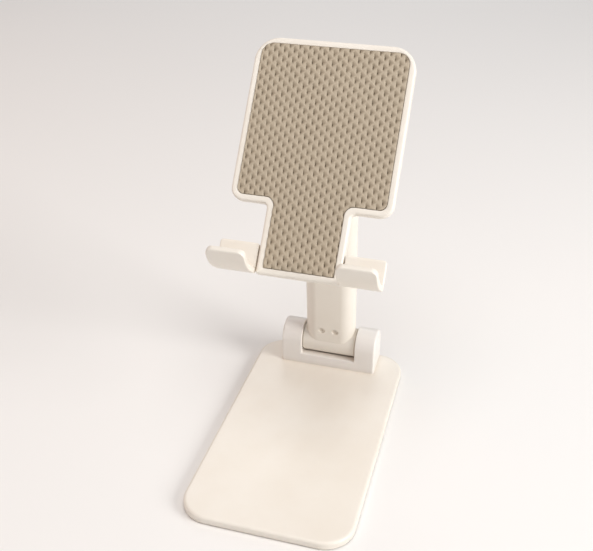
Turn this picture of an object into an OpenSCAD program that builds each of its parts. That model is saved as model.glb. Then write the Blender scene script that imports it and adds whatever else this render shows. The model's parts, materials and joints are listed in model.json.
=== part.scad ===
// Folding desk stand for a phone: weighted base, friction-hinged telescopic arm,
// tilting T-shaped rest plate with a soft pad, and a pair of fold-away hooks.
// Origin: centre of the base's footprint on the desk. +X right, +Y back, +Z up.

/* [Base] */
// Width of the base, left to right
base_w = 59.5; // [56:0.5:80]
// Depth of the base, front to back
base_d = 105; // [96:1:140]
// Height of the base above the desk, foot pad included
base_h = 3.2; // [3:0.1:5]
// Radius of the base's corners
base_r = 10.5; // [6:0.5:16]

/* [Hinge bracket] */
// Width over the two ears
bracket_w = 38.5; // [37.5:0.5:46]
// Width of the gap between the ears
bracket_gap = 22; // [21.6:0.1:22.6]
// Depth of the bracket, front to back
bracket_d = 13.6; // [13:0.2:16]
// Height of the low crossbar that joins the ears
crossbar_top = 7.6; // [6.8:0.1:8]
// Height of the arm's hinge axis
hinge_z = 12.6; // [11.8:0.1:13]

/* [Arm] */
// Forward lean of the arm from vertical, degrees
arm_lean = 5; // [0:1:12]
// Distance between the lower and upper hinge axes, as extended now
arm_len = 91.4; // [73.5:0.1:98]
// Width of the oval sleeve
sleeve_w = 20; // [18.6:0.2:20.6]
// Thickness of the oval sleeve, front to back
sleeve_t = 10.6; // [10.4:0.1:10.8]
// Height of the sleeve above the lower hinge axis
sleeve_len = 65.6; // [62:0.2:66]

/* [Rest plate] */
// Tilt of the plate back from vertical, degrees
plate_tilt = 38; // [20:1:60]
// Width of the wide upper part
plate_w = 55.2; // [52:0.2:58]
// Height of the whole plate
plate_len = 81; // [78:0.5:84]
// Width of the neck between the hooks
neck_w = 28.4; // [28:0.2:29.6]
// Height of the neck
neck_len = 23.7; // [23.3:0.1:28]
// Thickness of the plate
plate_t = 3.2; // [3.2:0.1:3.8]
// Width of the plastic rim around the pad
rim_w = 2.2; // [1.8:0.1:3]

/* [Hooks] */
// Width of one hook
hook_w = 13.6; // [11:0.2:15]
// Reach of the hooks in front of the plate
hook_reach = 14.9; // [11.4:0.1:14.9]
// Height of the hooks' back wall
hook_back = 10.2; // [8:0.1:10.4]
// Thickness of the hooks' wall
hook_wall = 2.1; // [1.8:0.1:2.2]

/* [Hidden] */
$fn = 64;
eps = 0.01;
fit = 0.05;                                   // gap of a running fit, per side
loose = 0.3;                                  // gap between faces that pass each other

cream = [0.93, 0.90, 0.86];
steel = [0.72, 0.73, 0.75];
pad_taupe = [0.70, 0.64, 0.54];
rubber_grey = [0.45, 0.44, 0.43];
polymer = [0.86, 0.86, 0.84];

// base stack, from the desk up
pad_t = 0.45;
bottom_t = 0.8;
shell_top = 0.9;
ballast_t = base_h - pad_t - bottom_t - shell_top;
shell_lift = 0.35;                            // the shell's lower edge clears the desk
shell_wall = 1.1;
pad_inset = 2.6;
screw_head_r = 1.9;

// lower hinge
hinge_y = base_d / 2 - 0.9 - bracket_d / 2;
ear_w = (bracket_w - bracket_gap) / 2;
barrel_r = 5.8;
washer_t = 0.3;
barrel_w = bracket_gap - 2 * washer_t;
shaft_r = 1.75;
shaft_head_r = 3.2;
counterbore_r = 3.7;
counterbore_x = bracket_w / 2 - 3.7;
cap_t = 1;
disc_spring_t = 0.9;
disc_spring_r = 3.4;
nut_t = 1.6;
nut_r = 3.4;
screw_x = bracket_w / 2 - ear_w / 2;
screw_y = 3;
screw_r = 1.1;
screw_top = 7.4;

// sleeve and tube sections, as half width and half thickness of an oval
sleeve_wall = 1.3;
liner_t = 0.65;
tube_wall = 1.05;
bore_w = sleeve_w - 2 * sleeve_wall;
bore_t = sleeve_t - 2 * sleeve_wall;
tube_w = bore_w - 2 * liner_t - 2 * fit;
tube_t = bore_t - 2 * liner_t - 2 * fit;
tube_inner_w = tube_w - 2 * tube_wall;
tube_inner_t = tube_t - 2 * tube_wall;
hub_r = 3.7;
tongue_w = 10.6;
tongue_t = 1.8;
tongue_z = 2.2;
tongue_top = 11;
cavity_z = 4.4;
sleeve_screw_x = 2.7;
sleeve_screw_z = 7.9;
sleeve_screw_r = 0.7;
sleeve_screw_head = 0.4;
recess_r = 1.1;
recess_depth = 0.8;

// telescopic travel, measured between the hinge axes
arm_min = 73.5;
arm_max = 98;
plug_len = 7;
plug_slack = 0.2;
tube_foot = arm_min - tongue_top - 0.5 - plug_len;   // below the upper axis
tube_head = 7.9;
tube_socket = 9;
brake_w = 7;
brake_l = 3.6;
brake_t = 0.9;
rivet_x = 4.4;
rivet_r = 0.7;
liner_z = arm_max - tube_foot + loose;

// upper hinge
knuckle_r = 4.8;
knuckle_w = 12.2;
ear2_w = 3.2;
ear2_r = 5.3;
shaft2_r = 1.3;
shaft2_head_r = 2.4;
spot2_r = 2.7;
spot2_depth = 1.4;
disc2_t = 0.7;
nut2_t = 1.5;
bracket2_w = knuckle_w + 2 * washer_t + 2 * ear2_w;
shaft2_end = bracket2_w / 2 - spot2_depth + disc2_t + nut2_t;
bracket2_base_w = 30;
bracket2_base_l = 17.5;
bracket2_base_t = 1.8;

// plate, in its own frame: x right, y up the plate, z out of its front
plate_front = 15.75;
plate_back_z = plate_front - plate_t;
plate_below = 52.5;
plate_top = plate_len - plate_below;
shoulder = neck_len - plate_below;
corner_top_r = 8.3;
corner_wing_r = 4.4;
corner_notch_r = 1.8;
corner_neck_r = 0.7;
pad_top_r = 4;
pad_wing_r = 2.4;
pad_notch_r = 3;
pad_neck_r = 0.5;
pad_depth = 0.7;
pad_proud = 0.2;
pad_gap = 0.1;
plate_wall = 1.05;
cover_t = 0.9;
stiffener_t = 0.7;
tilt_screw_x = 11.8;
tilt_screw_y = 5.2;
tilt_screw_r = 0.9;
tilt_head_r = 1.6;
tilt_head_t = 0.8;
bracket2_z = plate_back_z - bracket2_base_t;
plate_screw_r = 0.8;
plate_head_r = 1.5;
plate_head_t = 0.4;
plate_screws_at = [[-21, -17.5], [21, -17.5], [-21, 21], [21, 21], [0, -35]];

// hooks, in the plate's frame
hook_pin_r = 0.9;
hook_pin_y = 4 - plate_below;
hook_pin_z = plate_front - 4.6;
hook_floor = -plate_below;
hook_x = neck_w / 2 + 0.4;
hook_arc_r = 18.1;
hook_flat = 3.5;
hook_heel_r = 1.9;
hook_tip_a = asin((hook_reach - hook_flat) / hook_arc_r);
hub2_r = 2.1;
hub2_w = 4.4;
hook_washer_r = 1.3;
boss_r = 2.3;
boss_w = neck_w - 2 * plate_wall - 0.4;
hook_sink = 2.6;                              // hooks' back face behind the plate's front
hook_pin_to_wall = plate_front - hook_sink - hook_pin_z;
bar_drop = hook_pin_z - plate_back_z + loose + hook_wall;
cheek_w = 2.6;

// where the frames stand
top_y = hinge_y - arm_len * sin(arm_lean);
top_z = hinge_z + arm_len * cos(arm_lean);

module arm_frame() { translate([0, hinge_y, hinge_z]) rotate([arm_lean, 0, 0]) children(); }
module slide_frame() { arm_frame() translate([0, 0, arm_len]) children(); }
module plate_frame() { translate([0, top_y, top_z]) rotate([90 - plate_tilt, 0, 0]) children(); }

// ---- shared shapes -------------------------------------------------------
function arc(c, r, a0, a1, n = 8) =
    [for (i = [0:n]) let (a = a0 + (a1 - a0) * i / n) [c.x + r * cos(a), c.y + r * sin(a)]];

module rounded_slab(w, d, h, r) {
    translate([-w / 2 + r, -d / 2, 0]) cube([w - 2 * r, d, h]);
    translate([-w / 2, -d / 2 + r, 0]) cube([w, d - 2 * r, h]);
    for (x = [-1, 1], y = [-1, 1])
        translate([x * (w / 2 - r), y * (d / 2 - r), 0]) cylinder(h = h, r = r);
}
// oval bar standing on its end, round sides, flat front and back
module oval(w, t, h) {
    for (x = [-1, 1]) translate([x * (w - t) / 2, 0, 0]) cylinder(h = h, r = t / 2);
    translate([-(w - t) / 2, -t / 2, 0]) cube([w - t, t, h]);
}
module xcyl(r, x0, x1) { translate([x0, 0, 0]) rotate([0, 90, 0]) cylinder(h = x1 - x0, r = r); }
module both_sides() { children(); mirror([1, 0, 0]) children(); }
module washer_pair(r, hole_r, x0, x1) {
    both_sides() difference() {
        xcyl(r, x0, x1);
        xcyl(hole_r, x0 - 1, x1 + 1);
    }
}
module hex_nut(r, hole_r, x0, t) {
    translate([x0, 0, 0]) rotate([0, 90, 0]) difference() {
        cylinder(h = t, r = r, $fn = 6);
        translate([0, 0, -eps]) cylinder(h = t + 2 * eps, r = hole_r);
    }
}

// right half of the T's outline, from the foot of the neck up to the top
function t_side(inset, top_r, wing_r, notch_r, neck_r) =
    let (w = plate_w / 2 - inset, n = neck_w / 2 - inset,
         s = shoulder + inset, t = plate_top - inset, b = inset - plate_below)
    concat(arc([n - neck_r, b + neck_r], neck_r, -90, 0, 4),
           arc([n + notch_r, s - notch_r], notch_r, 180, 90),
           arc([w - wing_r, s + wing_r], wing_r, -90, 0),
           arc([w - top_r, t - top_r], top_r, 0, 90));
module t_solid(z0, z1, inset, top_r, wing_r, notch_r, neck_r) {
    side = t_side(inset, top_r, wing_r, notch_r, neck_r);
    last = len(side) - 1;
    left = [for (i = [last:-1:0]) [-side[i].x, side[i].y]];
    translate([0, 0, z0]) linear_extrude(z1 - z0) polygon(concat(side, left));
}
module t_inner(z0, z1, inset) {
    t_solid(z0, z1, inset, corner_top_r - inset, corner_wing_r - inset,
            corner_notch_r + inset, pad_neck_r);
}

// ---- base ----------------------------------------------------------------
module at_bracket_screws() {
    for (x = [-1, 1], y = [-1, 1]) translate([x * screw_x, hinge_y + y * screw_y, 0]) children();
}
module lower_hinge() { translate([0, hinge_y, hinge_z]) children(); }

module base_shell() {
    color(cream) difference() {
        translate([0, 0, shell_lift])
            rounded_slab(base_w, base_d, base_h - shell_lift, base_r);
        translate([0, 0, shell_lift - eps])
            rounded_slab(base_w - 2 * shell_wall, base_d - 2 * shell_wall,
                         base_h - shell_top - shell_lift + eps, base_r - shell_wall);
        at_bracket_screws() cylinder(h = base_h + eps, r = screw_r);
    }
}
module base_ballast() {
    gap = shell_wall + 0.2;
    color(steel) translate([0, 0, pad_t + bottom_t]) difference() {
        rounded_slab(base_w - 2 * gap, base_d - 2 * gap, ballast_t, base_r - gap);
        at_bracket_screws() translate([0, 0, -eps]) cylinder(h = base_h, r = screw_r + 0.4);
    }
}
module base_bottom() {
    gap = shell_wall + 0.1;
    color(cream) translate([0, 0, pad_t]) difference() {
        rounded_slab(base_w - 2 * gap, base_d - 2 * gap, bottom_t, base_r - gap);
        at_bracket_screws() translate([0, 0, -eps]) cylinder(h = base_h, r = screw_head_r + fit);
    }
}
module foot_pad() {
    color(rubber_grey) rounded_slab(base_w - 2 * pad_inset, base_d - 2 * pad_inset, pad_t,
                                    base_r - pad_inset);
}
module bracket_screws() {
    color(steel) at_bracket_screws() translate([0, 0, pad_t]) {
        cylinder(h = bottom_t, r = screw_head_r);
        cylinder(h = screw_top - 0.2 - pad_t, r = screw_r);
    }
}
module hinge_bracket() {
    half_d = bracket_d / 2;
    color(cream) difference() {
        lower_hinge() {
            both_sides() {
                xcyl(half_d, bracket_gap / 2, bracket_w / 2);
                translate([bracket_gap / 2, -half_d, base_h - hinge_z])
                    cube([ear_w, bracket_d, hinge_z - base_h]);
            }
            translate([-bracket_gap / 2 - eps, -half_d, base_h - hinge_z])
                cube([bracket_gap + 2 * eps, bracket_d, crossbar_top - base_h]);
        }
        lower_hinge() {
            xcyl(barrel_r + loose, -bracket_gap / 2, bracket_gap / 2);
            xcyl(shaft_r, -bracket_w, bracket_w);
            both_sides() xcyl(counterbore_r, counterbore_x, bracket_w);
        }
        at_bracket_screws() cylinder(h = screw_top, r = screw_r);
    }
}
module lower_shaft() {
    color(steel) lower_hinge() {
        xcyl(shaft_r, -counterbore_x - disc_spring_t - nut_t, counterbore_x + eps);
        xcyl(shaft_head_r, counterbore_x, counterbore_x + nut_t);
    }
}
module lower_washers() {
    color(polymer) lower_hinge() washer_pair(barrel_r - 0.5, shaft_r, barrel_w / 2, bracket_gap / 2);
}
module lower_disc_springs() {
    color(steel) lower_hinge() difference() {
        xcyl(disc_spring_r, -counterbore_x - disc_spring_t, -counterbore_x);
        xcyl(shaft_r, -bracket_w, 0);
    }
}
module lower_nut() {
    color(steel) lower_hinge() hex_nut(nut_r, shaft_r, -counterbore_x - disc_spring_t - nut_t, nut_t);
}
module hinge_caps() {
    color(cream) lower_hinge() both_sides() xcyl(counterbore_r, bracket_w / 2 - cap_t, bracket_w / 2);
}

// ---- arm: outer sleeve ---------------------------------------------------
module at_sleeve_screws() {
    for (x = [-1, 1]) translate([x * sleeve_screw_x, -sleeve_t / 2, sleeve_screw_z])
        rotate([-90, 0, 0]) children();
}
module arm_sleeve() {
    color(cream) arm_frame() difference() {
        union() {
            oval(sleeve_w, sleeve_t, sleeve_len);
            xcyl(barrel_r, -barrel_w / 2, barrel_w / 2);
        }
        xcyl(hub_r, -barrel_w, barrel_w);
        translate([0, 0, cavity_z]) oval(bore_w, bore_t, sleeve_len);
        translate([-tongue_w / 2, -bore_t / 2, 0]) cube([tongue_w, tongue_t, cavity_z + 1]);
        at_sleeve_screws() {
            translate([0, 0, -eps]) cylinder(h = recess_depth + eps, r = recess_r);
            cylinder(h = sleeve_wall + 1, r = sleeve_screw_r);
        }
    }
}
module sleeve_leaf() {
    color(steel) arm_frame() difference() {
        union() {
            xcyl(hub_r, -barrel_w / 2, barrel_w / 2);
            translate([-tongue_w / 2, -bore_t / 2, tongue_z])
                cube([tongue_w, tongue_t, tongue_top - tongue_z]);
        }
        xcyl(shaft_r + fit, -barrel_w, barrel_w);
        at_sleeve_screws() cylinder(h = sleeve_wall + tongue_t + 1, r = sleeve_screw_r);
    }
}
module sleeve_screws() {
    color(steel) arm_frame() at_sleeve_screws() {
        translate([0, 0, recess_depth - sleeve_screw_head])
            cylinder(h = sleeve_screw_head, r = recess_r - fit);
        translate([0, 0, recess_depth - eps])
            cylinder(h = sleeve_wall + tongue_t - recess_depth, r = sleeve_screw_r);
    }
}
module sleeve_liner() {
    color(polymer) arm_frame() translate([0, 0, liner_z]) difference() {
        oval(bore_w, bore_t, sleeve_len - liner_z);
        translate([0, 0, -1]) oval(tube_w + 2 * fit, tube_t + 2 * fit, sleeve_len);
    }
}

// ---- arm: sliding tube, measured down from the upper hinge axis -----------
module at_brake_pads() {
    for (s = [-1, 1])
        translate([-brake_w / 2, s * (bore_t / 2 - plug_slack - brake_t / 2) - brake_t / 2,
                   -tube_foot - plug_len + 1.7]) children();
}
module inner_tube() {
    color(cream) slide_frame() difference() {
        translate([0, 0, -tube_foot]) oval(tube_w, tube_t, tube_foot - tube_head);
        translate([0, 0, -tube_foot - 1]) oval(tube_inner_w, tube_inner_t, tube_foot);
    }
}
module tube_plug() {
    color(polymer) slide_frame() difference() {
        union() {
            translate([0, 0, -tube_foot - plug_len])
                oval(bore_w - 2 * plug_slack, bore_t - 2 * plug_slack, plug_len);
            translate([0, 0, -tube_foot - eps]) oval(tube_inner_w, tube_inner_t, tube_socket / 2);
        }
        at_brake_pads() cube([brake_w, brake_t, brake_l]);
    }
}
module brake_pads() {
    color(rubber_grey) slide_frame() at_brake_pads() cube([brake_w, brake_t, brake_l]);
}
module upper_knuckle() {
    color(cream) slide_frame() difference() {
        union() {
            xcyl(knuckle_r, -knuckle_w / 2, knuckle_w / 2);
            translate([-knuckle_w / 2, -tube_t / 2, -tube_head]) cube([knuckle_w, tube_t, tube_head]);
            translate([0, 0, -tube_head - tube_socket - eps])
                oval(tube_inner_w, tube_inner_t, tube_socket + 2 * eps);
            translate([0, 0, -tube_head]) oval(tube_w, tube_t, 1.3);
        }
        xcyl(shaft2_r + fit, -knuckle_w, knuckle_w);
        at_knuckle_rivets() translate([0, 0, -1]) cylinder(h = tube_t + 2, r = rivet_r);
    }
}
module at_knuckle_rivets() {
    for (x = [-1, 1]) translate([x * rivet_x, -tube_inner_t / 2, -tube_head - tube_socket / 2])
        rotate([-90, 0, 0]) children();
}
module knuckle_rivets() {
    color(steel) slide_frame() at_knuckle_rivets() cylinder(h = tube_inner_t, r = rivet_r);
}

// ---- rest plate ----------------------------------------------------------
module at_plate_screws() {
    for (p = plate_screws_at) translate([p.x, p.y, plate_back_z]) children();
}
module at_tilt_screws() {
    for (x = [-1, 1], y = [-1, 1])
        translate([x * tilt_screw_x, y * tilt_screw_y, bracket2_z]) children();
}
module plate_shell() {
    color(cream) plate_frame() difference() {
        t_solid(plate_back_z, plate_front, 0, corner_top_r, corner_wing_r, corner_notch_r,
                corner_neck_r);
        t_solid(plate_front - pad_depth, plate_front + 1, rim_w, pad_top_r, pad_wing_r,
                pad_notch_r, pad_neck_r);
        t_inner(plate_back_z - eps, plate_back_z + cover_t + stiffener_t, plate_wall);
    }
}
module plate_stiffener() {
    z = plate_back_z + cover_t;
    color(steel) plate_frame() difference() {
        t_inner(z, z + stiffener_t, plate_wall + 0.15);
        at_plate_screws() cylinder(h = plate_t, r = plate_screw_r);
        at_tilt_screws() cylinder(h = plate_front, r = tilt_screw_r);
    }
}
module plate_back() {
    color(cream) plate_frame() difference() {
        union() {
            t_inner(plate_back_z, plate_back_z + cover_t, plate_wall + 0.1);
            translate([0, hook_pin_y, hook_pin_z]) xcyl(boss_r, -boss_w / 2, boss_w / 2);
            translate([-boss_w / 2, hook_pin_y - boss_r, hook_pin_z])
                cube([boss_w, 2 * boss_r, plate_back_z - hook_pin_z + eps]);
        }
        translate([0, hook_pin_y, hook_pin_z]) xcyl(hook_pin_r, -neck_w, neck_w);
        at_plate_screws() translate([0, 0, -eps]) {
            cylinder(h = cover_t + 1, r = plate_screw_r);
            cylinder(h = plate_head_t + fit, r = plate_head_r + fit);
        }
        at_tilt_screws() cylinder(h = plate_front, r = tilt_screw_r);
    }
}
module plate_pad() {
    color(pad_taupe) plate_frame()
        t_solid(plate_front - pad_depth, plate_front + pad_proud, rim_w + pad_gap, pad_top_r - pad_gap,
                pad_wing_r - pad_gap, pad_notch_r + pad_gap, pad_neck_r);
}
module plate_screws() {
    color(steel) plate_frame() at_plate_screws() {
        translate([0, 0, fit]) cylinder(h = plate_head_t - eps, r = plate_head_r);
        translate([0, 0, plate_head_t / 2]) cylinder(h = cover_t + stiffener_t - plate_head_t / 2,
                                                     r = plate_screw_r);
    }
}
module tilt_bracket() {
    color(cream) plate_frame() difference() {
        union() {
            translate([0, 0, bracket2_z])
                rounded_slab(bracket2_base_w, bracket2_base_l, bracket2_base_t, 2.6);
            both_sides() {
                xcyl(ear2_r, knuckle_w / 2 + washer_t, bracket2_w / 2);
                translate([knuckle_w / 2 + washer_t, -ear2_r, 0])
                    cube([ear2_w, 2 * ear2_r, bracket2_z + eps]);
            }
        }
        xcyl(shaft2_r, -bracket2_w, bracket2_w);
        both_sides() xcyl(spot2_r, bracket2_w / 2 - spot2_depth, bracket2_w);
        at_tilt_screws() translate([0, 0, -eps]) {
            cylinder(h = tilt_head_t + fit, r = tilt_head_r + fit);
            cylinder(h = plate_front, r = tilt_screw_r);
        }
    }
}
module tilt_screws() {
    color(steel) plate_frame() at_tilt_screws() {
        cylinder(h = tilt_head_t, r = tilt_head_r);
        cylinder(h = bracket2_base_t + cover_t + stiffener_t, r = tilt_screw_r);
    }
}
module upper_shaft() {
    color(steel) plate_frame() {
        xcyl(shaft2_r, -shaft2_end, bracket2_w / 2 - spot2_depth + eps);
        xcyl(shaft2_head_r, bracket2_w / 2 - spot2_depth, bracket2_w / 2 - 0.2);
    }
}
module upper_washers() {
    color(polymer) plate_frame()
        washer_pair(knuckle_r - 0.4, shaft2_r, knuckle_w / 2, knuckle_w / 2 + washer_t);
}
module upper_disc_springs() {
    color(steel) plate_frame() difference() {
        xcyl(spot2_r - 0.1, -bracket2_w / 2 + spot2_depth - disc2_t, -bracket2_w / 2 + spot2_depth);
        xcyl(shaft2_r, -bracket2_w, 0);
    }
}
module upper_nut() {
    color(steel) plate_frame() hex_nut(spot2_r - 0.1, shaft2_r, -shaft2_end, nut2_t);
}

// ---- hooks ---------------------------------------------------------------
module hook_axis() { translate([0, hook_pin_y, hook_pin_z]) children(); }
// cross-section of a hook: back wall, floor and a lip that curves up, as [out, up]
function hook_section() =
    let (back = plate_front - hook_sink, top = hook_floor + hook_back,
         c = [plate_front + hook_flat, hook_floor + hook_arc_r], r = hook_heel_r - hook_wall / 2)
    concat([[back + hook_wall, top], [back, top]],
           arc([back + hook_heel_r, hook_floor + hook_heel_r], hook_heel_r, 180, 270, 5),
           arc(c, hook_arc_r, 270, 270 + hook_tip_a, 10),
           arc(c, hook_arc_r - hook_wall, 270 + hook_tip_a, 270, 10),
           arc([back + hook_wall + r, hook_floor + hook_wall + r], r, 270, 180, 4));
module hook_yoke() {
    bar_y = boss_r + loose;
    color(cream) plate_frame() difference() {
        union() {
            both_sides() {
                translate([hook_x, 0, 0]) rotate([90, 0, 90])
                    linear_extrude(hook_w) polygon([for (p = hook_section()) [p.y, p.x]]);
                hook_axis() xcyl(hub2_r, hook_x, hook_x + hub2_w);
                hook_axis() translate([hook_x, 0, -bar_drop])
                    cube([cheek_w, bar_y + hook_wall, bar_drop + hook_pin_to_wall + 0.1]);
            }
            hook_axis() translate([-hook_x - eps, bar_y, -bar_drop])
                cube([2 * hook_x + 2 * eps, hook_wall, hook_wall]);
        }
        hook_axis() xcyl(hook_pin_r + fit, -plate_w, plate_w);
    }
}
module hook_pin() {
    color(steel) plate_frame() hook_axis() xcyl(hook_pin_r, -hook_x - hub2_w, hook_x + hub2_w);
}
module hook_washers() {
    color(polymer) plate_frame() hook_axis()
        washer_pair(hook_washer_r, hook_pin_r, boss_w / 2, hook_x - fit);
}

base_shell();
base_ballast();
base_bottom();
foot_pad();
bracket_screws();
hinge_bracket();
lower_shaft();
lower_washers();
lower_disc_springs();
lower_nut();
hinge_caps();
arm_sleeve();
sleeve_leaf();
sleeve_screws();
sleeve_liner();
inner_tube();
tube_plug();
brake_pads();
upper_knuckle();
knuckle_rivets();
plate_shell();
plate_stiffener();
plate_back();
plate_pad();
plate_screws();
tilt_bracket();
tilt_screws();
upper_shaft();
upper_washers();
upper_disc_springs();
upper_nut();
hook_pin();
hook_washers();
hook_yoke();
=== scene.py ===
import json
import math

import bmesh
import bpy
from mathutils import Matrix, Vector, noise


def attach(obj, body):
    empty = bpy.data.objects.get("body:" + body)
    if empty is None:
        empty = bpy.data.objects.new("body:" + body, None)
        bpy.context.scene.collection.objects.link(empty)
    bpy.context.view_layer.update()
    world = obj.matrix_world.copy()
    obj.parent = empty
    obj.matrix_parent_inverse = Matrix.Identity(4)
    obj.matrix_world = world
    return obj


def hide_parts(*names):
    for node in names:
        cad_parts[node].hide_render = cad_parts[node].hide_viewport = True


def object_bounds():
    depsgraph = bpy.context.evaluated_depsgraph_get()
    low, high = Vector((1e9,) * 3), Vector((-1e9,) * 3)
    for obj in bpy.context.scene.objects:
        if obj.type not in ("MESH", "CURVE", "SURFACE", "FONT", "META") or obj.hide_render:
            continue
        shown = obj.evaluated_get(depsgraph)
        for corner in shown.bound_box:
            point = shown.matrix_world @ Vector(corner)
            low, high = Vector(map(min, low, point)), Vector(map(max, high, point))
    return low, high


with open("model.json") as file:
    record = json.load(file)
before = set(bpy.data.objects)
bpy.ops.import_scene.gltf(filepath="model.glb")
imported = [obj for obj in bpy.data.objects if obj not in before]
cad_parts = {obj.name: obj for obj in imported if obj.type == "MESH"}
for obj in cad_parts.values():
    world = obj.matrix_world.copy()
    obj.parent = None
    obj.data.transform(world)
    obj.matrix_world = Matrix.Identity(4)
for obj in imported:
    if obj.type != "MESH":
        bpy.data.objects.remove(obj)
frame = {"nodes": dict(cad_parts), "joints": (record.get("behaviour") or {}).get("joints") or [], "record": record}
cad_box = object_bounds()
scene = bpy.context.scene
nodes = frame["nodes"]
joints = {j["name"]: j for j in frame["joints"]}
mounts = {m["name"]: m for m in frame["record"]["mounts"]}
MM = 0.001


# ---- frames: every piece is drawn in millimetres in the frame of what it belongs to ----
def local(origin, up):
    """x to the right, z along up, which lies in the YZ plane."""
    turn = Matrix.Rotation(math.atan2(-up[1], up[2]), 4, "X")
    return Matrix.Translation(Vector(origin)) @ turn @ Matrix.Scale(MM, 4)


WORLD = Matrix.Scale(MM, 4)
HINGE = Matrix.Translation(Vector(joints["arm_fold"]["pos_m"])) @ WORLD
ARM = local(joints["arm_fold"]["pos_m"], joints["arm_slide"]["axis"])
SLIDE = local(joints["plate_tilt"]["pos_m"], joints["arm_slide"]["axis"])
PLATE = local(joints["plate_tilt"]["pos_m"], mounts["phone_face"]["axis"])
ALONG_X = Matrix(((0, 0, 1, 0), (1, 0, 0, 0), (0, 1, 0, 0), (0, 0, 0, 1)))   # z of a profile to x
TO_FRONT = Matrix.Rotation(math.radians(90), 4, "X")    # z of a profile to -y
TO_BACK = Matrix.Rotation(math.pi, 4, "X")              # z of a profile to -z


def points(node, frame_of):
    """A CAD node's vertices in millimetres, in one of the frames."""
    back = frame_of.inverted()
    return [back @ v.co for v in nodes[node].data.vertices]


def extent(node, frame_of, keep=lambda p: True):
    """Lowest and highest corner of a CAD node in millimetres, in one of the frames."""
    kept = [p for p in points(node, frame_of) if keep(p)]
    return (Vector([min(p[i] for p in kept) for i in range(3)]),
            Vector([max(p[i] for p in kept) for i in range(3)]))


# ---- materials ----
def material(name, rough, metallic=0.0):
    m = bpy.data.materials.new(name)
    m.use_nodes = True
    tree = m.node_tree
    shader = tree.nodes["Principled BSDF"]
    shader.inputs["Roughness"].default_value = rough
    shader.inputs["Metallic"].default_value = metallic
    return m, tree, shader


def node(tree, kind, **values):
    n = tree.nodes.new(kind)
    for key, value in values.items():
        if key in n.inputs:
            n.inputs[key].default_value = value
        else:
            setattr(n, key, value)
    return n


def noise_map(tree, scale, detail=3.0, rough=0.55):
    where = node(tree, "ShaderNodeTexCoord")
    tex = node(tree, "ShaderNodeTexNoise", Scale=scale, Detail=detail, Roughness=rough)
    tree.links.new(where.outputs["Object"], tex.inputs["Vector"])
    return tex.outputs["Fac"]


def spread(tree, source, low, high, lo=0.3, hi=0.7):
    out = node(tree, "ShaderNodeMapRange")
    for key, value in (("From Min", lo), ("From Max", hi), ("To Min", low), ("To Max", high)):
        out.inputs[key].default_value = value
    tree.links.new(source, out.inputs["Value"])
    return out.outputs["Result"]


def mixed(tree, factor, a, b):
    mix = node(tree, "ShaderNodeMix", data_type="RGBA")
    for socket, value in ((mix.inputs[6], a), (mix.inputs[7], b)):
        if isinstance(value, tuple):
            socket.default_value = (*value, 1)
        else:
            tree.links.new(value, socket)
    tree.links.new(factor, mix.inputs[0])
    return mix.outputs[2]


def bumped(tree, shader, source, strength, distance):
    b = node(tree, "ShaderNodeBump", Strength=strength, Distance=distance)
    tree.links.new(source, b.inputs["Height"])
    tree.links.new(b.outputs["Normal"], shader.inputs["Normal"])


def moulded(name, light, dark, rough, grain=0.25, grain_scale=5200, coat=0.0):
    """Moulded plastic or rubber: faint cloudiness, fine spark-eroded grain, painted shade in the corners."""
    m, tree, shader = material(name, rough)
    cloud = spread(tree, noise_map(tree, 55, 4), 0, 1)
    skin = mixed(tree, cloud, light, dark)
    # painted shade: the colour darkens towards a warm dark tone where ambient occlusion finds corners and creases
    corner = node(tree, "ShaderNodeAmbientOcclusion", Distance=0.0022)
    corner.samples = 8
    shade = spread(tree, corner.outputs["AO"], 0.55, 0.0, 0.25, 0.95)
    skin = mixed(tree, shade, skin, tuple(c * k for c, k in zip(dark, (0.86, 0.80, 0.73))))
    tree.links.new(skin, shader.inputs["Base Color"])
    sheen = spread(tree, noise_map(tree, 190, 5, 0.6), rough - 0.045, rough + 0.06)
    tree.links.new(sheen, shader.inputs["Roughness"])
    bumped(tree, shader, noise_map(tree, grain_scale, 2), grain, 0.00003)
    shader.inputs["IOR"].default_value = 1.5
    shader.inputs["Coat Weight"].default_value = coat
    shader.inputs["Coat Roughness"].default_value = 0.25
    return m


# light and dark of the cloudiness, roughness, depth and scale of the grain, coat
CREAM = moulded("cream_plastic", (0.86, 0.815, 0.745), (0.83, 0.775, 0.695), 0.36, coat=0.08)
PALE = moulded("pale_plastic", (0.88, 0.85, 0.82), (0.86, 0.82, 0.78), 0.38, coat=0.06)
LACQUER = moulded("cream_lacquer", (0.82, 0.77, 0.69), (0.78, 0.72, 0.64), 0.42, 0.1)
SILICONE = moulded("grey_silicone", (0.20, 0.195, 0.19), (0.16, 0.155, 0.15), 0.62, 0.5, 2600)
ACETAL = moulded("acetal", (0.72, 0.72, 0.69), (0.68, 0.68, 0.64), 0.4, 0.15)


def zinc():
    m, tree, shader = material("zinc_steel", 0.3, 1.0)
    patch = spread(tree, noise_map(tree, 420, 5), 0, 1)
    skin = mixed(tree, patch, (0.62, 0.63, 0.64), (0.50, 0.51, 0.53))
    tree.links.new(skin, shader.inputs["Base Color"])
    tree.links.new(spread(tree, noise_map(tree, 900, 4), 0.24, 0.42), shader.inputs["Roughness"])
    bumped(tree, shader, noise_map(tree, 6000, 2), 0.15, 0.00002)
    return m


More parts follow.
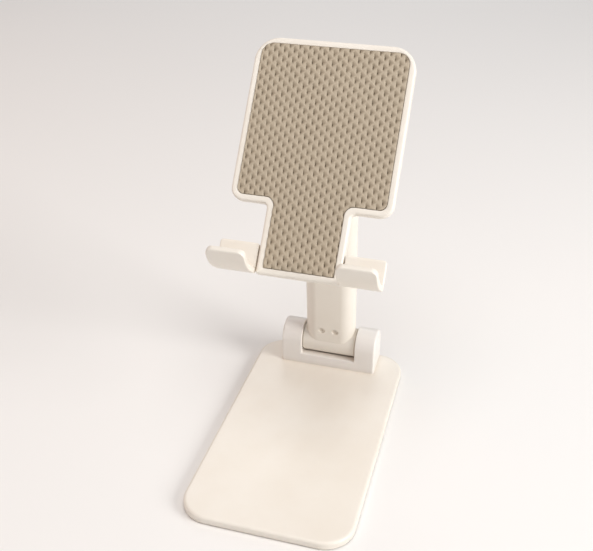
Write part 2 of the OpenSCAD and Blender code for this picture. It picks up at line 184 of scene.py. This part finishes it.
def padding():
    """Taupe silicone: painted shade, darker down in the pits; painted highlight, paler on the ridges."""
    m, tree, shader = material("pad_silicone", 0.55)
    relief = node(tree, "ShaderNodeAttribute", attribute_name="relief")
    level = relief.outputs["Fac"]
    cloud = spread(tree, noise_map(tree, 240, 5, 0.65), 0, 1)
    skin = mixed(tree, cloud, (0.390, 0.324, 0.239), (0.346, 0.286, 0.208))
    # painted highlight: a paler colour on the ridge tops
    skin = mixed(tree, spread(tree, level, 0, 1, 0.72, 1.0), skin, (0.484, 0.406, 0.304))
    # painted shade: the colour goes near black down in the pits
    skin = mixed(tree, spread(tree, level, 1, 0, 0.05, 0.62), skin, (0.11, 0.072, 0.04))
    tree.links.new(skin, shader.inputs["Base Color"])
    tree.links.new(spread(tree, level, 0.72, 0.5, 0.2, 1.0), shader.inputs["Roughness"])
    bumped(tree, shader, noise_map(tree, 3300, 3, 0.6), 0.45, 0.00006)
    shader.inputs["Sheen Weight"].default_value = 0.12
    shader.inputs["Sheen Roughness"].default_value = 0.5
    return m


ZINC, PAD = zinc(), padding()
SLOTS = {"body_plastic": CREAM, "pad_silicone": PAD, "foot_silicone": SILICONE,
         "bearing_polymer": ACETAL, "zinc_steel": ZINC, "painted_steel": LACQUER}
for part in frame["record"]["subparts"]:
    shown = nodes[part["node"]].data
    shown.materials.clear()
    shown.materials.append(SLOTS[part["material_slot"]])


# ---- outlines: a list of [x, y] drawn in from the true edge by inset ----
def arc(cx, cy, r, a0, a1, n):
    return [(cx + r * math.cos(math.radians(a0 + (a1 - a0) * i / n)),
             cy + r * math.sin(math.radians(a0 + (a1 - a0) * i / n))) for i in range(n + 1)]


def rounded(w, d, r, n=12, cx=0.0, cy=0.0):
    def outline(inset):
        e = max(r - inset, 0.01)
        x, y = w / 2 - inset - e, d / 2 - inset - e
        return (arc(cx + x, cy + y, e, 0, 90, n) + arc(cx - x, cy + y, e, 90, 180, n)
                + arc(cx - x, cy - y, e, 180, 270, n) + arc(cx + x, cy - y, e, 270, 360, n))
    return outline


def round_bar(r, n=64):
    return lambda inset: [((r - inset) * math.cos(math.tau * i / n),
                           (r - inset) * math.sin(math.tau * i / n)) for i in range(n)]


def edges(z0, z1, low, high, n=5):
    """Stations [inset, z] up a wall whose two edges are rounded by low and high."""
    def quarter(r, i):
        a = math.pi / 2 * i / n
        return r * (1 - math.sin(a)), r * (1 - math.cos(a))
    up, down = [(0, z0)], [(0, z1)]
    if low:
        up = [(inset, z0 + rise) for inset, rise in [quarter(low, i) for i in range(n + 1)]]
    if high:
        down = [(inset, z1 - rise) for inset, rise in [quarter(high, i) for i in range(n, -1, -1)]]
    return up + down


class Shape:
    """Collects closed shells, each in millimetres, then becomes one piece."""

    def __init__(self, placed=WORLD):
        self.placed, self.verts, self.faces = placed, [], []

    def shell(self, verts, faces, turn=Matrix.Identity(4)):
        start = len(self.verts)
        self.verts += [turn @ Vector(v) for v in verts]
        self.faces += [[i + start for i in f] for f in faces]
        return self

    def rings(self, rings, turn=Matrix.Identity(4), joined=False):
        n = len(rings[0])
        verts = [p for ring in rings for p in ring]
        last = len(rings) if joined else len(rings) - 1
        faces = [[k * n + i, k * n + (i + 1) % n, (k + 1) % len(rings) * n + (i + 1) % n,
                  (k + 1) % len(rings) * n + i] for k in range(last) for i in range(n)]
        if not joined:
            faces += [list(range(n))[::-1], [len(verts) - n + i for i in range(n)]]
        return self.shell(verts, faces, turn)

    def stations(self, outline, steps, turn=Matrix.Identity(4), joined=False):
        return self.rings([[(x, y, z) for x, y in outline(inset)] for inset, z in steps], turn, joined)

    def block(self, outline, z0, z1, low=0.3, high=0.3, turn=Matrix.Identity(4), n=4):
        return self.stations(outline, edges(z0, z1, low, high, n), turn)

    def rod(self, r, x0, x1, low=0.2, high=0.2, n=64, at=(0, 0, 0)):
        return self.block(round_bar(r, n), x0, x1, low, high, Matrix.Translation(at) @ ALONG_X)

    def raw(self, name):
        mesh = bpy.data.meshes.new(name)
        mesh.from_pydata([self.placed @ v for v in self.verts], [], self.faces)
        made = bmesh.new()
        made.from_mesh(mesh)
        bmesh.ops.remove_doubles(made, verts=made.verts, dist=1e-7)
        bmesh.ops.dissolve_degenerate(made, edges=made.edges, dist=1e-7)
        bmesh.ops.recalc_face_normals(made, faces=made.faces)
        made.to_mesh(mesh)
        made.free()
        piece = bpy.data.objects.new(name, mesh)
        scene.collection.objects.link(piece)
        return piece


def settle(piece):
    """Applies the modifiers."""
    depsgraph = bpy.context.evaluated_depsgraph_get()
    mesh = bpy.data.meshes.new_from_object(piece.evaluated_get(depsgraph))
    piece.modifiers.clear()
    old, piece.data = piece.data, mesh
    bpy.data.meshes.remove(old)


def cut(piece, *cutters):
    for cutter in cutters:
        tool = cutter.raw("tool")
        step = piece.modifiers.new("cut", "BOOLEAN")
        step.operation, step.solver, step.object = "DIFFERENCE", "EXACT", tool
        settle(piece)
        bpy.data.objects.remove(tool)
    return piece


def soften(piece, width, steps=3, angle=32, weigh=None):
    """Rounds the sharp edges. weigh gives an edge's share of width from its middle point."""
    mesh = piece.data
    made = bmesh.new()
    made.from_mesh(mesh)
    bmesh.ops.dissolve_limit(made, angle_limit=math.radians(0.5), verts=made.verts, edges=made.edges)
    layer = made.edges.layers.float.new("bevel_weight_edge")
    for e in made.edges:
        if len(e.link_faces) == 2 and e.calc_face_angle(0) > math.radians(angle):
            middle = (e.verts[0].co + e.verts[1].co) / 2
            e[layer] = weigh(middle) if weigh else 1.0
    made.to_mesh(mesh)
    made.free()
    b = piece.modifiers.new("edges", "BEVEL")
    b.width, b.segments, b.limit_method = width * MM, steps, "WEIGHT"
    b.use_clamp_overlap = True
    settle(piece)
    return piece


def ready(piece, name, body, mat, swaps=(), angle=38):
    piece.name = piece.data.name = name
    piece.data.materials.clear()
    piece.data.materials.append(mat)
    piece.data.shade_smooth()
    piece.data.set_sharp_from_angle(angle=math.radians(angle))
    normal = piece.modifiers.new("normals", "WEIGHTED_NORMAL")
    normal.keep_sharp, normal.weight = True, 60
    settle(piece)
    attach(piece, body)
    if swaps:
        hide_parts(*swaps)
    return piece


def shift(x=0.0, y=0.0, z=0.0):
    return Matrix.Translation((x, y, z))


# ---- base ----
b0, b1 = extent("base_shell", WORLD)
base_w, base_d, base_h = b1.x - b0.x, b1.y - b0.y, b1.z
base_r = b1.x - min(p.x for p in points("base_shell", WORLD) if p.y > b1.y - 0.01 and p.x > 0)
slab = rounded(base_w, base_d, base_r, 22)
cover = Shape()
crown, crown_drop = 1.25, 0.95           # the top edge's rounding, inward and down
f1 = extent("base_bottom", WORLD)[1]
wall = b1.x - f1.x
under = f1.z + 0.25
fillet = [(crown * (1 - math.sin(a)), base_h - crown_drop * (1 - math.cos(a)))
          for a in [math.pi / 2 * i / 9 for i in range(9, -1, -1)]]
steps = ([(wall + 14, under), (wall, under), (wall, b0.z + 0.25), (wall - 0.2, b0.z),
          (0.3, b0.z), (0.1, b0.z + 0.1), (0, b0.z + 0.3)]
         + fillet + [(crown + 0.6, base_h), (crown + 7, base_h)])
cover.stations(slab, steps)
ready(cover.raw("base_cover"), "base_cover", "base", CREAM, ["base_shell"])

g0, g1 = extent("foot_pad", WORLD)
sheet = rounded(g1.x - g0.x, g1.y - g0.y, base_r - (b1.x - g1.x), 16)
foot = Shape()
groove = [(2.9, g0.z), (2.75, g0.z + 0.12), (2.15, g0.z + 0.12), (2.0, g0.z)]
foot.stations(sheet, groove + [(0.25, g0.z), (0.07, g0.z + 0.06), (0, g0.z + 0.18), (0, g1.z)])
ready(foot.raw("foot_sheet"), "foot_sheet", "base", SILICONE, ["foot_pad"])

# ---- hinge bracket: a clevis cut from one arched block ----
h0, h1 = extent("hinge_bracket", HINGE)
reach = h1.y
gap = extent("lower_washers", HINGE)[1].x
s0, s1 = extent("arm_sleeve", ARM)
barrel = -s0.z
bar_top = max(p.z for p in points("hinge_bracket", HINGE)
              if p.y > reach - 0.1 and h0.z + 0.5 < p.z < -1)
sunk = 0.25                              # how far the block goes into the base
arch = [(-reach, h0.z - sunk), (reach, h0.z - sunk)] + arc(0, 0, reach, 0, 180, 44)
block = Shape(HINGE).rings([[(x, y, z) for y, z in arch] for x in (h0.x, h1.x)]).raw("bracket")
cap_r, cap_t = extent("hinge_caps", HINGE)[1].y, 1.4
window = Shape(HINGE).shell(
    [(x, y, z) for x in (-gap, gap) for y in (-reach - 2, reach + 2) for z in (bar_top, reach + 2)],
    [[0, 1, 3, 2], [4, 6, 7, 5], [0, 4, 5, 1], [2, 3, 7, 6], [0, 2, 6, 4], [1, 5, 7, 3]])
cut(block, window,
    Shape(HINGE).rod(barrel + 0.3, -gap, gap, 0, 0, 72),
    Shape(HINGE).rod(cap_r, h1.x - cap_t, h1.x + 2, 0, 0, 64),
    Shape(HINGE).rod(cap_r, h0.x - 2, h0.x + cap_t, 0, 0, 64))


def bracket_share(p):
    """No rounding at the base, little round the caps, most on the ears' outer edges."""
    x, y, z = HINGE.inverted() @ p
    if z < h0.z + 0.2:
        return 0.0
    if abs(x) > h1.x - 0.05:
        return 0.2 if math.hypot(y, z) < cap_r + 0.1 else 1.0
    return 0.42


soften(block, 0.8, 4, 32, bracket_share)
ready(block, "hinge_clevis", "base", PALE, ["hinge_bracket"])
caps = Shape(HINGE)
for side in (1, -1):
    x0, x1 = sorted((side * (h1.x - 1.35), side * (h1.x - 0.03)))
    low, high = (0, 0.14) if side > 0 else (0.14, 0)
    caps.rod(cap_r - 0.03, x0, x1, low, high, 72)
ready(caps.raw("caps"), "pivot_caps", "base", PALE, ["hinge_caps"])

# ---- arm sleeve: oval tube, hinge barrel across its foot, two screw recesses ----
t1 = extent("arm_sleeve", ARM, lambda p: p.z > 20)
half_w, half_t, top = t1[1].x, t1[1].y, s1.z
bore = half_w - extent("sleeve_liner", ARM)[1].x      # the wall at the mouth
oval = rounded(2 * half_w, 2 * half_t, half_t, 24)
tube = Shape(ARM)
bore_floor = 11.2                        # just below the tube's plug at its lowest
tube.stations(oval, edges(0.0, top, 0, 0.55, 5)
              + [(bore - 0.25, top), (bore - 0.06, top - 0.07), (bore, top - 0.25), (bore, bore_floor)])
tube = tube.raw("sleeve")
a, b = extent("sleeve_screws", ARM, lambda p: p.x > 0)
screw_r = (b.z - a.z) / 2
recess = [(0, half_t - 0.8), (0, half_t - 0.42), (-0.3, half_t), (-0.3, half_t + 2)]
screws_at = []
for side in (1, -1):
    a, b = extent("sleeve_screws", ARM, lambda p: p.x * side > 0)
    middle = (a + b) / 2
    screws_at.append((middle.x, a.y, middle.z))
    drill = shift(middle.x, 0, middle.z) @ TO_FRONT
    cut(tube, Shape(ARM).stations(round_bar(screw_r, 40), recess, drill))
soften(tube, 0.12, 2, 50, lambda p: 1.0 if abs((ARM.inverted() @ p).y + half_t) < 0.02
       and 1 < (ARM.inverted() @ p).z < 15 else 0.0)
ready(tube, "sleeve_tube", "arm", CREAM, ["arm_sleeve"])
knuckle = Shape(ARM).rod(barrel, s0.x, s1.x, 0.3, 0.3, 96)
ready(knuckle.raw("barrel"), "sleeve_barrel", "arm", CREAM)


# ---- screws ----
def screw_head(shape, r, t, at, turn=0.0):
    """A low pan head with a cross recess, its top at z = 0, facing +z of at."""
    slot, depth = r * 0.62, min(t * 0.6, 0.42)
    arm_w = r * 0.17
    cross = []
    for k in range(4):
        c, s = math.cos(math.pi / 2 * k), math.sin(math.pi / 2 * k)
        for x, y in ((arm_w, -arm_w), (slot, -arm_w), (slot, arm_w)):
            cross.append((x * c - y * s, x * s + y * c))
    cross = sorted(cross, key=lambda p: math.atan2(p[1], p[0]))
    rim, mid = ([(share * r * math.cos(math.atan2(y, x)), share * r * math.sin(math.atan2(y, x)))
                 for x, y in cross] for share in (0.985, 0.78))
    rings = [[(x, y, -t) for x, y in rim], [(x, y, -0.12) for x, y in rim],
             [(x * 0.96, y * 0.96, -0.03) for x, y in rim], [(x, y, 0) for x, y in mid],
             [(x, y, 0) for x, y in cross], [(x * 0.8, y * 0.8, -depth) for x, y in cross]]
    shape.rings(rings, at @ Matrix.Rotation(turn, 4, "Z"))


heads = Shape(ARM)
for at, turn in zip(screws_at, (0.5, -0.5)):
    screw_head(heads, screw_r, 0.35, shift(*at) @ TO_FRONT, turn)
ready(heads.raw("heads"), "sleeve_screw_heads", "arm", LACQUER, ["sleeve_screws"], 30)

# ---- sliding tube and its knuckle ----
i0, i1 = extent("inner_tube", SLIDE)
inner_oval = rounded(2 * i1.x, 2 * i1.y, i1.y, 20)
inner_wall = 1.05
inner = Shape(SLIDE)
inner.stations(inner_oval, edges(i0.z, i1.z, 0.2, 0.15, 3)
               + [(inner_wall, i1.z), (inner_wall, i0.z)], joined=True)
ready(inner.raw("inner"), "sliding_tube", "slider", CREAM, ["inner_tube"])
eye = Shape(SLIDE)
eye_r = extent("upper_knuckle", SLIDE)[1].z
eye_w = min(abs(p.x) for p in points("upper_washers", SLIDE))
eye.rod(eye_r, -eye_w, eye_w, 0.35, 0.35, 72)
eye.block(rounded(2 * eye_w, 2 * i1.y, 1.2, 6), i1.z, 0, 0.0, 0.0)
eye.block(inner_oval, i1.z, i1.z + 1.3, 0.12, 0.4)
ready(eye.raw("eye"), "tilt_knuckle", "slider", CREAM, ["upper_knuckle"])

# ---- rest plate ----
p0, p1 = extent("plate_shell", PLATE)
neck = extent("plate_shell", PLATE, lambda p: p.y < p0.y + 3)[1].x
shoulder = extent("plate_shell", PLATE, lambda p: p.x > neck + 4)[0].y


def tee(top_r, wing_r, notch_r, neck_r, edge=0.0):
    """The T's outline. Going inward, outer corners tighten and the two notches open."""
    def outline(inset):
        i = inset + edge
        w, n, s, t, b = p1.x - i, neck - i, shoulder + i, p1.y - i, p0.y + i
        radii = (top_r - inset, wing_r - inset, notch_r + inset, neck_r - inset)
        tr, wr, nr, fr = (max(v, 0.02) for v in radii)
        side = (arc(n - fr, b + fr, fr, -90, 0, 8) + arc(n + nr, s - nr, nr, 180, 90, 10)
                + arc(w - wr, s + wr, wr, -90, 0, 12) + arc(w - tr, t - tr, tr, 0, 90, 16))
        return side + [(-x, y) for x, y in side[::-1]]
    return outline


q0, q1 = extent("plate_pad", PLATE)
rim = p1.x - q1.x                        # from the plate's edge to the pad's
rim_in = rim - 0.1
front, back = p1.z, p0.z
floor_z = q0.z
TOP_R, WING_R, NOTCH_R = 8.3, 4.4, 1.8   # the plate's corners
plate_edge = tee(TOP_R, WING_R, NOTCH_R, 0.7)
pocket = tee(4.0, 2.4, 3.0, 0.3, rim_in)
side_t = p1.x - extent("plate_back", PLATE, lambda p: p.y > 0 and p.z > back - 0.5)[1].x
shell = Shape(PLATE)
ring_sets = [[(x, y, z) for x, y in plate_edge(inset)] for inset, z in
             [(side_t - 0.05, back + 0.9), (side_t - 0.05, back + 0.1), (side_t - 0.2, back)]
             + edges(back, front, 0.35, 0.75, 7) + [(1.0, front)]]
ring_sets += [[(x, y, z) for x, y in pocket(inset)] for inset, z in
              [(-0.32, front), (-0.1, front - 0.08), (0, front - 0.3), (0, floor_z)]]
shell.rings(ring_sets)
ready(shell.raw("shell"), "plate_front", "plate", CREAM, ["plate_shell"], 42)

# ---- pad: a moulded sheet of small scales, each sunk towards one corner ----
PITCH = 3.45                             # from one scale to the next across or up the plate
DEPTH = 0.74
grid_n = 20                              # rows of faces for one pitch
pad_edge = tee(3.9, 2.3, 3.1, 0.2, rim)(0)
pad_top = q1.z


def inside(x, y):
    """Whether a point lies within the pad's edge."""
    found = False
    j = len(pad_edge) - 1
    for i, (xi, yi) in enumerate(pad_edge):
        xj, yj = pad_edge[j]
        if (yi > y) != (yj > y) and x < (xj - xi) * (y - yi) / (yj - yi) + xi:
            found = not found
        j = i
    return found


def nearest(x, y):
    """The closest point on the pad's edge."""
    best, where = 1e9, (x, y)
    j = len(pad_edge) - 1
    for i, (xi, yi) in enumerate(pad_edge):
        xj, yj = pad_edge[j]
        dx, dy = xi - xj, yi - yj
        t = max(0, min(1, ((x - xj) * dx + (y - yj) * dy) / max(dx * dx + dy * dy, 1e-12)))
        px, py = xj + t * dx, yj + t * dy
        d = (px - x) ** 2 + (py - y) ** 2
        if d < best:
            best, where = d, (px, py)
        j = i
    return where


def relief(x, y):
    """0 at the bottom of a pit and 1 on the ridges."""
    p, q = (x + y) / PITCH, (x - y) / PITCH
    wob = noise.noise(Vector((round(p) * 3.1, round(q) * 3.1, 0.5)))
    a, b = p - round(p), q - round(q)
    across, along = (a + b) / 2, (a - b) / 2
    left = across + 0.24 + 0.18 * along
    wedge = max(0.0, min(1.0, left / 0.14, (0.37 - a) / 0.46, (0.33 - b) / 0.40))
    slit = math.exp(-((left - 0.12) / 0.05) ** 2 - ((along + 0.07) / 0.16) ** 2)
    crest = math.exp(-((0.5 - abs(a)) / 0.05) ** 2)
    return 0.95 + 0.05 * crest - wedge ** 1.1 * (0.46 + 0.08 * wob) - slit * (0.46 + 0.1 * wob)


def steps_between(a, b, step):
    n = max(1, round((b - a) / step))
    return [a + (b - a) * i / n for i in range(n)]


step = PITCH / grid_n
n_edge = neck - rim
xs = (steps_between(q0.x, -n_edge, step) + steps_between(-n_edge, n_edge, step)
      + steps_between(n_edge, q1.x, step) + [q1.x])
ys = (steps_between(q0.y, shoulder + rim, step) + steps_between(shoulder + rim, q1.y, step)
      + [q1.y])
on = {}
for i, x in enumerate(xs):
    for j, y in enumerate(ys):
        near_x = min(max(x, q0.x + 1e-4), q1.x - 1e-4)
        near_y = min(max(y, q0.y + 1e-4), q1.y - 1e-4)
        on[i, j] = inside(near_x, near_y)
verts, levels, faces, index = [], [], [], {}
WALL_LEVEL = 0.35                        # relief value at the foot of the pad's side


def corner(i, j):
    if (i, j) not in index:
        x, y = xs[i], ys[j]
        if not on[i, j]:
            x, y = nearest(x, y)
        index[i, j] = len(verts)
        h = relief(x, y)
        verts.append((x, y, pad_top - DEPTH * (1 - h)))
        levels.append(h)
    return index[i, j]


for i in range(len(xs) - 1):
    for j in range(len(ys) - 1):
        four = [(i, j), (i + 1, j), (i + 1, j + 1), (i, j + 1)]
        centre = ((xs[i] + xs[i + 1]) / 2, (ys[j] + ys[j + 1]) / 2)
        if sum(on[c] for c in four) >= 2 and inside(*centre):
            faces.append([corner(*c) for c in four])
used = {}
for f in faces:
    for a, b in zip(f, f[1:] + f[:1]):
        used[a, b] = used.get((a, b), 0) + 1
border = [(a, b) for a, b in used if (b, a) not in used]
below = {}
for a, b in border:
    for k in (a, b):
        if k not in below:
            below[k] = len(verts)
            verts.append((verts[k][0], verts[k][1], floor_z + 0.02))
            levels.append(WALL_LEVEL)
faces += [[b, a, below[a], below[b]] for a, b in border]
pad_mesh = bpy.data.meshes.new("pad")
pad_mesh.from_pydata([PLATE @ Vector(v) for v in verts], [], faces)
attribute = pad_mesh.attributes.new("relief", "FLOAT", "POINT")
attribute.data.foreach_set("value", levels)
pad = bpy.data.objects.new("grip_pad", pad_mesh)
scene.collection.objects.link(pad)
pad_mesh.materials.append(PAD)
pad_mesh.shade_smooth()
pad_mesh.set_sharp_from_angle(angle=math.radians(75))
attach(pad, "plate")
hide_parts("plate_pad")

# ---- back cover, with the boss that carries the hooks' pin ----
pin = PLATE.inverted() @ Vector(joints["hook_fold"]["pos_m"])
cover_edge = tee(TOP_R - side_t, WING_R - side_t, NOTCH_R + side_t, 0.5, side_t)
panel = Shape(PLATE).stations(cover_edge, edges(back + 0.02, back + 0.9, 0.22, 0, 3)).raw("panel")
cover_at = ((-21, -17.5), (21, -17.5), (-21, 21), (21, 21), (0, -35))
for x, y in cover_at:
    cut(panel, Shape(PLATE).block(round_bar(1.62, 32), back - 1, back + 0.42, 0, 0, shift(x, y)))
soften(panel, 0.12, 2, 50, lambda p: 1.0 if (PLATE.inverted() @ p).z < back + 0.05 else 0.0)
ready(panel, "back_cover", "plate", CREAM, ["plate_back"])
boss = Shape(PLATE)
boss_w = min(abs(p.x) for p in points("hook_washers", PLATE))
boss_r = pin.y - extent("plate_back", PLATE, lambda p: p.z < back - 0.5)[0].y
boss.rod(boss_r, -boss_w, boss_w, 0.35, 0.35, 48, at=(0, pin.y, pin.z))
boss.block(rounded(2 * boss_w, 2 * boss_r, 0.3, 3, 0, pin.y), pin.z, back + 0.3, 0, 0)
ready(boss.raw("boss"), "pin_boss", "plate", CREAM)
heads = Shape(PLATE)
for k, (x, y) in enumerate(cover_at):
    screw_head(heads, 1.5, 0.3, shift(x, y, back + 0.06) @ TO_BACK, 0.4 + k)
ready(heads.raw("heads"), "cover_screws", "plate", ZINC, ["plate_screws"], 30)

# ---- tilt bracket on the back ----
r0, r1 = extent("tilt_bracket", PLATE)
slab0 = min(p.z for p in points("tilt_bracket", PLATE) if abs(p.x) > 12)
ears = extent("tilt_bracket", PLATE, lambda p: p.z < slab0 - 2)
ear_r = -ears[0].z
clevis = Shape(PLATE).block(rounded(r1.x - r0.x, r1.y - r0.y, 2.6, 10), slab0, r1.z, 0.5, 0)
inner_x = max(abs(p.x) for p in points("upper_washers", PLATE))


def lug_rings(inset):
    r = ear_r - inset
    return arc(0, 0, r, 180, 360, 36) + [(r, slab0 + 0.8), (-r, slab0 + 0.8)]


for side in (1, -1):
    x0, x1 = sorted((side * inner_x, side * ears[1].x))
    low, high = (0.25, 0.7) if side > 0 else (0.7, 0.25)
    clevis.block(lug_rings, x0, x1, low, high, ALONG_X, 5)
clevis = clevis.raw("clevis")
sink_r, sink = 2.7, 1.4                  # the recesses for the axle's head and the nut
cut(clevis, Shape(PLATE).rod(sink_r, ears[1].x - sink, ears[1].x + 1, 0, 0, 48),
    Shape(PLATE).rod(sink_r, ears[0].x - 1, ears[0].x + sink, 0, 0, 48))
tilt_at = [(x, y) for x in (-11.8, 11.8) for y in (-5.2, 5.2)]
for x, y in tilt_at:
    cut(clevis, Shape(PLATE).block(round_bar(1.7, 32), slab0 - 1, slab0 + 0.8, 0, 0, shift(x, y)))
ready(clevis, "tilt_clevis", "plate", CREAM, ["tilt_bracket"])
heads = Shape(PLATE)
for k, (x, y) in enumerate(tilt_at):
    screw_head(heads, 1.6, 0.6, shift(x, y, slab0 + 0.08) @ TO_BACK, 0.3 + k * 0.7)
ready(heads.raw("heads"), "clevis_screws", "plate", ZINC, ["tilt_screws"], 30)
axle = Shape(PLATE)
a0, a1 = extent("upper_shaft", PLATE)
axle.rod(1.3, a0.x, a1.x - 0.6, 0.2, 0, 32)
axle.rod(2.4, a1.x - 1.15, a1.x, 0, 0.3, 48)
ready(axle.raw("axle"), "tilt_axle", "plate", ZINC, ["upper_shaft"])
n0, n1 = extent("upper_nut", PLATE)
nut = Shape(PLATE).rod(n1.z, n0.x + 0.2, n1.x, 0.28, 0, 6)
ready(nut.raw("nut"), "tilt_nut", "plate", ZINC, ["upper_nut"], 25)

# ---- hooks: a bent strip with rounded lip, one each side, joined by a bar behind the neck ----
y1 = extent("hook_yoke", PLATE)[1]
hook_in = extent("hook_pin", PLATE)[1].x - 4.4
wall_t = 2.1
yb = p1.z - 2.6                          # the back face of the hooks' back wall
floor_y = extent("hook_yoke", PLATE, lambda p: p.z > yb + 3)[0].y
back_top = extent("hook_yoke", PLATE, lambda p: p.z < yb + 1 and abs(p.x) > hook_in + 6)[1].y
ARC_R, FLAT, HEEL = 18.1, 3.5, 1.9       # the lip's curve, the straight before it, the heel's bend
tip_reach = y1.z - p1.z
tip_a = math.asin((tip_reach - FLAT) / ARC_R)


def hook_path():
    """[z, y, outward z, outward y, distance] along the middle of the hook's wall."""
    half = wall_t / 2
    out, s = [], 0.0
    line = [(yb + half, back_top, -1, 0), (yb + half, floor_y + HEEL, -1, 0)]
    r = HEEL - half
    heel = [(yb + HEEL - r * math.cos(a), floor_y + HEEL - r * math.sin(a), -math.cos(a), -math.sin(a))
            for a in [math.pi / 2 * i / 8 for i in range(1, 9)]]
    cz, cy, r = p1.z + FLAT, floor_y + ARC_R, ARC_R - half
    lip_arc = [(cz + r * math.sin(a), cy - r * math.cos(a), math.sin(a), -math.cos(a))
               for a in [tip_a * i / 30 for i in range(31)]]
    for p in line + heel + lip_arc:
        if out:
            s += math.hypot(p[0] - out[-1][0], p[1] - out[-1][1])
        out.append((*p, s))
    return out


PATH = hook_path()
LENGTH = PATH[-1][4]


def on_path(s):
    """The path's first four values at a distance along it."""
    s = max(0.0, min(LENGTH, s))
    for a, b in zip(PATH, PATH[1:]):
        if s <= b[4]:
            t = (s - a[4]) / max(b[4] - a[4], 1e-9)
            return [a[k] + (b[k] - a[k]) * t for k in range(4)]
    return list(PATH[-1][:4])


def hook(shape, side):
    """Sweeps a rounded section along the path, drawn in at both ends."""
    x_in, x_out = hook_in, y1.x
    tip_r, back_r, e = 2.4, 1.1, 0.6
    ends = [0, 0.04, 0.12, 0.25, 0.42, 0.62, 0.85, 1.1, 1.4, 1.8, 2.25, 2.7]
    cuts = sorted({round(d, 4) for d in ends} | {round(LENGTH - d, 4) for d in ends}
                  | {round(p[4], 4) for p in PATH if 2.7 < p[4] < LENGTH - 2.7}
                  | {round(2.7 + (PATH[1][4] - 2.7) * i / 4, 4) for i in range(1, 4)})
    rings = []
    for s in cuts:
        z, y, nz, ny = on_path(s)
        size = math.hypot(nz, ny)
        nz, ny = nz / size, ny / size
        d0, d1 = s, LENGTH - s
        d = min(d0, d1)
        half = wall_t / 2 - (e - math.sqrt(max(e * e - (e - min(d, e)) ** 2, 0))) * 0.98
        corner_r = back_r if d0 < d1 else tip_r
        pull = corner_r - math.sqrt(max(corner_r ** 2 - (corner_r - min(d, corner_r)) ** 2, 0))
        narrow = 0.4 * max(0.0, (s - 0.5 * LENGTH) / (0.5 * LENGTH))
        a, b = x_in + pull, x_out - narrow - pull
        r = min(0.45, half * 0.96)
        loop = rounded(b - a, 2 * half, r, 5, (a + b) / 2, 0)(0)
        rings.append([(side * x, y + ny * h, z + nz * h) for x, h in loop])
    shape.rings(rings)


hooks = Shape(PLATE)
hook(hooks, 1)
hook(hooks, -1)
pin_to_wall = yb - pin.z
bar_up = boss_r + 0.3
drop = pin.z - back + 0.3 + wall_t
for side in (1, -1):
    x0, x1 = sorted((side * hook_in, side * (hook_in + 4.15)))
    hooks.rod(2.1, x0, x1, 0.3, 0.3, 48, at=(0, pin.y, pin.z))
    x0, x1 = sorted((side * hook_in, side * (hook_in + 2.6)))
    cheek = rounded(bar_up + wall_t, drop + pin_to_wall + 0.3, 0.8, 6,
                    pin.y + (bar_up + wall_t) / 2, pin.z + (pin_to_wall + 0.3 - drop) / 2)
    hooks.block(cheek, x0, x1, 0.25, 0.25, ALONG_X)
bar = rounded(wall_t, wall_t, 0.7, 6, pin.y + bar_up + wall_t / 2, pin.z - drop + wall_t / 2)
hooks.block(bar, -hook_in - 0.5, hook_in + 0.5, 0, 0, ALONG_X)
ready(hooks.raw("hooks"), "phone_hooks", "hooks", CREAM, ["hook_yoke"], 48)
o0, o1 = extent("hook_pin", PLATE)
ready(Shape(PLATE).rod(0.9, o0.x, o1.x, 0.25, 0.25, 32, at=(0, pin.y, pin.z)).raw("pin"),
      "hook_axle", "plate", ZINC, ["hook_pin"])

# ---- floor, light and camera ----
FAR = 3000
floor = Shape().shell([(-FAR, -FAR, -0.02), (FAR, -FAR, -0.02), (FAR, FAR, -0.02), (-FAR, FAR, -0.02)],
                      [[0, 1, 2, 3]]).raw("floor")
paper, tree, shader = material("paper", 0.9)
tree.links.new(mixed(tree, noise_map(tree, 3.0), (0.88, 0.87, 0.86), (0.86, 0.85, 0.84)),
               shader.inputs["Base Color"])
floor.data.materials.append(paper)

world = bpy.data.worlds.new("studio")
world.use_nodes = True
world.node_tree.nodes["Background"].inputs["Color"].default_value = (0.97, 0.975, 1.0, 1)
world.node_tree.nodes["Background"].inputs["Strength"].default_value = 0.31
scene.world = world


def lamp(name, where, target, size, watts, colour):
    """A round soft lamp. Places and size in metres."""
    data = bpy.data.lights.new(name, "AREA")
    data.shape, data.size, data.energy, data.color = "DISK", size, watts, colour
    ob = bpy.data.objects.new(name, data)
    ob.location = where
    ob.rotation_euler = (Vector(target) - Vector(where)).to_track_quat("-Z", "Y").to_euler()
    scene.collection.objects.link(ob)


middle = (cad_box[0] + cad_box[1]) / 2
lamp("key", (0.87, -0.18, 0.42), middle, 0.5, 6.9, (1.0, 0.98, 0.955))
lamp("top", (0.05, -0.25, 1.05), middle, 0.9, 5.2, (1.0, 0.98, 0.95))
lamp("bounce", (-0.8, -0.1, 0.5), middle, 1.0, 1.6, (1.0, 0.56, 0.32))
lamp("backdrop", (-0.25, 1.2, 0.8), Vector((-0.2, 0.95, 0)), 0.8, 2.8, (1.0, 1.0, 1.0))

# fitted to the outlines of the base, the plate and the arm
camera = bpy.data.cameras.new("camera")
camera.sensor_width, camera.lens = 36, 52.26
camera.clip_start, camera.clip_end = 0.01, 20
eye_at = bpy.data.objects.new("camera", camera)
eye_at.location = (0.06498, -0.23744, 0.21755)
eye_at.rotation_euler = (math.radians(90 - 31.13), 0, math.radians(15.81))
scene.collection.objects.link(eye_at)
scene.camera = eye_at
scene.view_settings.view_transform = "Standard"
